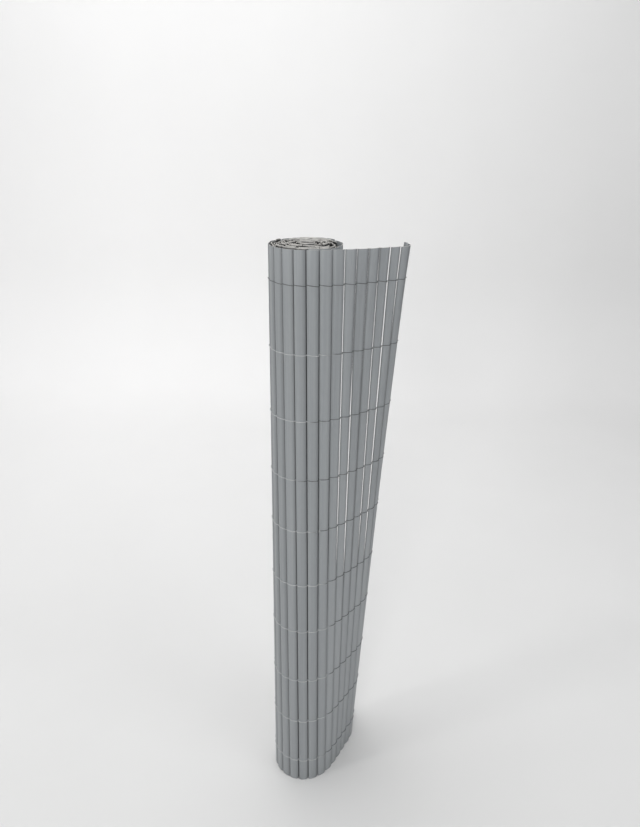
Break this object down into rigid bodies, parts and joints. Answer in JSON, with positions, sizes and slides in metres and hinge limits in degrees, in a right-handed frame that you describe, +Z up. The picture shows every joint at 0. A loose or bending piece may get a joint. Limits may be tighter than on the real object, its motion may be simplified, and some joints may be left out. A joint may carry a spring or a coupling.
{
  "type": "rolled pvc privacy screen",
  "caption": "Upright roll of grey PVC slats tied side by side with thin twine, its last slats hanging open as a curved free flap.",
  "frame": {"origin": "centre of the bounding box in plan, on the floor that the slats stand on", "axes": "+Z up along the slats, -Y towards the front of the roll, +X towards the side that the free flap opens to"},
  "size_m": [0.2068, 0.1688, 1.002],
  "materials": {
    "slat": "satin",
    "twine": "matte"
  },
  "bodies": {
    "root": {"flap_slat_01": "slat", "flap_slat_02": "slat", "flap_slat_03": "slat", "flap_slat_04": "slat", "flap_slat_05": "slat", "flap_slat_06": "slat", "flap_slat_07": "slat", "flap_slat_08": "slat", "flap_slat_09": "slat", "flap_slat_10": "slat", "flap_slat_11": "slat", "inner_turn_01": "slat", "inner_turn_02": "slat", "inner_turn_03": "slat", "inner_turn_04": "slat", "inner_turn_05": "slat", "inner_turn_06": "slat", "inner_turn_07": "slat", "inner_turn_08": "slat", "inner_turn_09": "slat", "inner_turn_10": "slat", "inner_turn_11": "slat", "inner_turn_12": "slat", "inner_turn_13": "slat", "inner_turn_14": "slat", "outer_slat_01": "slat", "outer_slat_02": "slat", "outer_slat_03": "slat", "outer_slat_04": "slat", "outer_slat_05": "slat", "outer_slat_06": "slat", "outer_slat_07": "slat", "outer_slat_08": "slat", "outer_slat_09": "slat", "outer_slat_10": "slat", "outer_slat_11": "slat", "outer_slat_12": "slat", "outer_slat_13": "slat", "outer_slat_14": "slat", "outer_slat_15": "slat", "outer_slat_16": "slat", "outer_slat_17": "slat", "outer_slat_18": "slat", "twine_row_01": "twine", "twine_row_02": "twine", "twine_row_03": "twine", "twine_row_04": "twine", "twine_row_05": "twine", "twine_row_06": "twine", "twine_row_07": "twine", "twine_row_08": "twine", "twine_row_09": "twine", "twine_row_10": "twine"}
  },
  "joints": []
}
